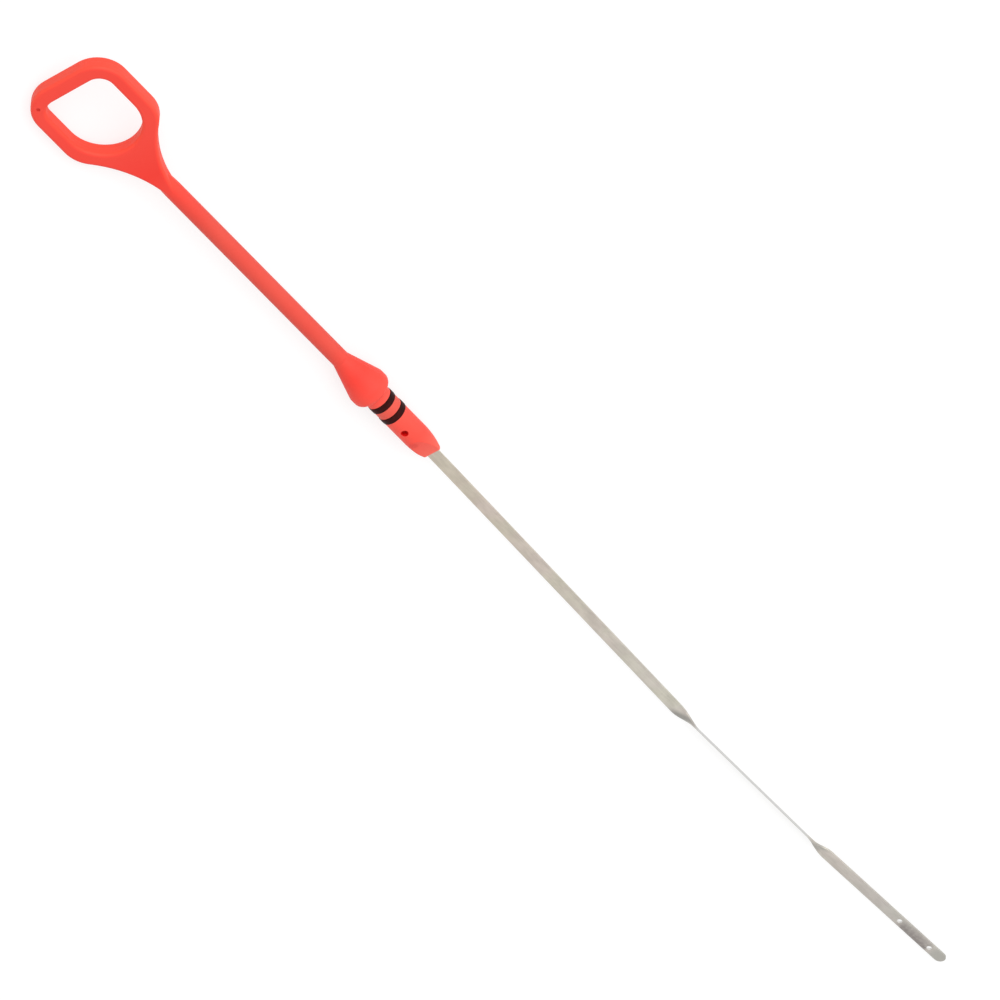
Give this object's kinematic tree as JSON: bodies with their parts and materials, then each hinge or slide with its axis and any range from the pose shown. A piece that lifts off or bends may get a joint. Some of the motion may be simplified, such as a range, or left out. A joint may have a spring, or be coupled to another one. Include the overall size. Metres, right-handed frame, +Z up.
{
  "type": "engine oil dipstick",
  "caption": "Engine oil dipstick: a red moulded finger loop, shank, stop and sealed plug on a long thin steel blade with twisted spans and level holes near its tip.",
  "frame": {"origin": "on the plug's axis, where the stop's seat meets the plug and the guide tube's mouth would be", "axes": "+X along the plug's axis towards the blade's tip, +Z up as the dipstick lies at rest on a floor, on the stop's rim, the blade and the finger loop's -Y edge"},
  "size_m": [0.5653, 0.0396, 0.0218],
  "materials": {
    "handle": "satin moulded",
    "seal": "smooth",
    "blade": "dull rolled strip"
  },
  "bodies": {
    "root": {"handle": "handle", "upper_seal_ring": "seal", "lower_seal_ring": "seal", "blade": "blade"}
  },
  "joints": []
}
